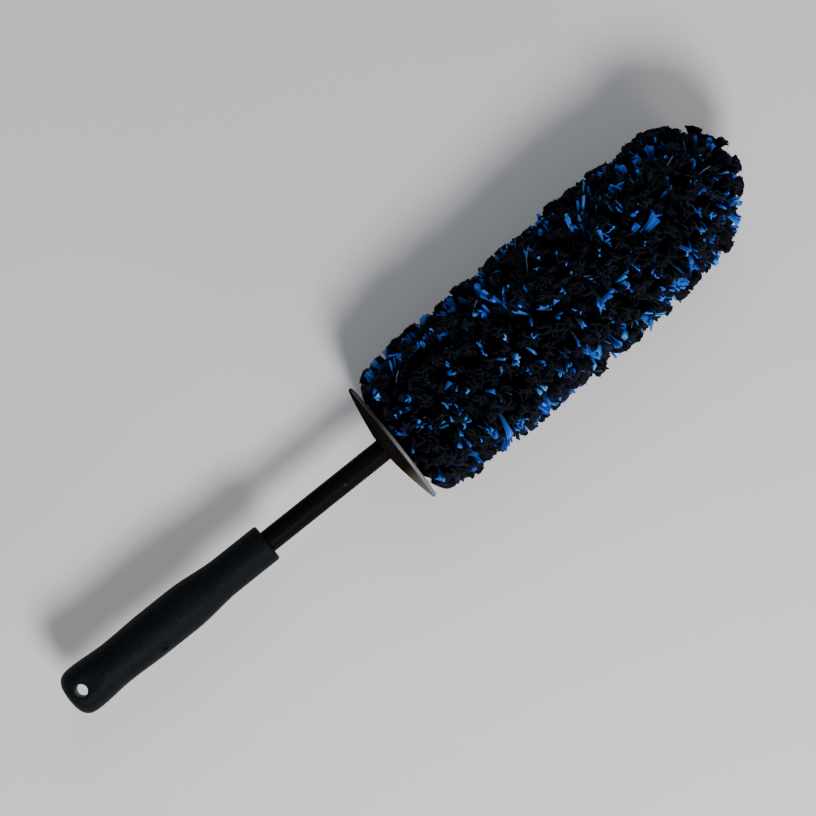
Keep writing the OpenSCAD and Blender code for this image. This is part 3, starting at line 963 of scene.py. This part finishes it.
def add_pile():
    black_count = 1180
    root, end, black_at, out = scatter(black_count, 0.12, 1.3 * MM, 2.5 * MM)
    black = grow(root, end, out, 4, 1.7 * MM, 0.11, 0.045)
    many = len(black.root)
    black.at = black_at[black.tuft]
    larger = 1 + 0.35 * tip_share(black.at)
    width = rng.uniform(4.4, 8.2, many) * MM * larger
    size_petals(black, width, (0.8, 1.5), 1.2, (1.6, 2.8), 0.14, (0.25, 0.75), (0.2, 2.0))
    black_shade = rng.normal(0.40, 0.22, black_count)[black.tuft] + rng.normal(0, 0.15, many)

    # shorter tufts fill the pile between the roots
    fill_count = 620
    root, end, fill_at, out = scatter(fill_count, 0.3, 11 * MM, 2 * MM)
    fill = grow(root, end, out, 3, 2.2 * MM, 0.12, 0.08)
    many = len(fill.root)
    fill.at = fill_at[fill.tuft]
    width = rng.uniform(6.5, 10.0, many) * MM
    size_petals(fill, width, (1.0, 2.0), 2.0, (1.0, 1.4), 0.12, (0.3, 0.8), (0.2, 2.0))
    fill_shade = rng.uniform(0.0, 0.5, many)

    blue_count = 565
    root, end, blue_at, out = scatter(blue_count, 0.5, 0.5 * MM, 1.0 * MM)
    blue = grow(root, end, out, 2, 0.9 * MM, 0.19, 0.05)
    many = len(blue.root)
    blue.at = blue_at[blue.tuft]
    size = rng.gamma(3.6, 1 / 3.6, blue_count)[blue.tuft] * (1 + 0.45 * tip_share(blue.at))
    width = np.clip(2.6 * size * rng.uniform(0.6, 1.25, many), 0.9, 6.5) * MM
    size_petals(blue, width, (0.45, 0.9), 0.6, (3.0, 6.0), 0.2, (0.15, 0.5), (0.0, 1.6))
    blue_shade = np.minimum(rng.beta(1.6, 1.9, blue_count)[blue.tuft] + rng.normal(0, 0.12, many), 0.96)

    # a few single fibres that have worked loose, paler than the rest
    root, end, stray_at, out = scatter(46, 0.8, -0.4 * MM, 0.8 * MM)
    stray = grow(root, end, out, 1, 0.0, 0.30, 0.05)
    many = len(stray.root)
    stray.at = stray_at
    stray.width = rng.uniform(0.3, 0.6, many) * MM
    stray.thick = np.full(many, 0.3 * MM)
    stray.root_width = 0.3 * MM
    stray.flare = np.ones(many)
    stray.curl = stray.fray = stray.round = np.zeros(many)
    stray_shade = np.ones(many)

    pieces = []
    for label, material, give, sets in (
            ("black", PILE_BLACK, 3.8 * MM, [(black, black_shade, 2.6), (fill, fill_shade, 2.0)]),
            ("blue", PILE_BLUE, 2.6 * MM, [(blue, blue_shade, 3.0), (stray, stray_shade, 3.6)])):
        points = np.concatenate([settle(held_in(petal_points(petals, bow), give)) for petals, _, bow in sets])
        shade = np.concatenate([shade for _, shade, _ in sets])
        at = np.concatenate([petals.at for petals, _, _ in sets])
        bins = np.floor(np.clip(shade, 0, 0.999) * STRAND_BINS)
        for k in range(BANDS + 1):
            ending = "tip" if k == BANDS else f"{k + 1:02d}"
            mine = band_of(np.maximum(at, 0)) == k
            name = f"tufts_{label}_{ending}"
            piece = link(name, petal_mesh(name, points[mine], bins[mine]), material)
            if label == "black":
                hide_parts(f"pile_{ending}")
            pieces.append(piece)
    return pieces


# ---- Room ----

def add_floor():
    mesh = bpy.data.meshes.new("floor")
    size = 4.0
    corners = [(-size, -size, 0), (size, -size, 0), (size, size, 0), (-size, size, 0)]
    mesh.from_pydata(corners, [], [(0, 1, 2, 3)])
    floor = bpy.data.objects.new("floor", mesh)
    bpy.context.scene.collection.objects.link(floor)
    p = Paint("floor")
    p.set(Base_Color=(0.78, 0.78, 0.79, 1.0), Roughness=0.9)
    mesh.materials.append(p.material)


def add_light(name, place, size, power, colour=(1, 1, 1)):
    data = bpy.data.lights.new(name, "AREA")
    data.shape = "DISK"
    data.size = size
    data.energy = power
    data.color = colour
    lamp = bpy.data.objects.new(name, data)
    lamp.location = place
    lamp.rotation_euler = (Vector((0, 0, 0.04)) - Vector(place)).to_track_quat("-Z", "Y").to_euler()
    bpy.context.scene.collection.objects.link(lamp)


def add_room():
    add_floor()
    add_light("key", (-0.35, -0.9, 1.15), 0.5, 22.5)
    add_light("fill", (0.7, 0.8, 1.3), 1.0, 4.6, (0.92, 0.96, 1.0))
    add_light("low_warm", (0.25, -1.1, 0.35), 0.4, 5, (1.0, 0.9, 0.78))
    world = bpy.data.worlds.new("world")
    world.use_nodes = True
    sky = world.node_tree.nodes["Background"].inputs
    sky["Color"].default_value = (0.9, 0.93, 1.0, 1)
    sky["Strength"].default_value = 0.23
    bpy.context.scene.world = world


# ---- Assembly ----

def dress(node, material):
    """A CAD node that is carried over, with a better material."""
    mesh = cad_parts[node].data
    mesh.materials.clear()
    mesh.materials.append(material)


add_room()
add_grip()
add_shaft()
add_cross_pin()
add_guard()
dress("rear_plug", SATIN)
dress("stem_socket", SATIN)
dress("guard_clip", STEEL)
dress("tip_cap", SATIN)

for bending in add_pile() + [add_wire_core()]:
    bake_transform(bending)
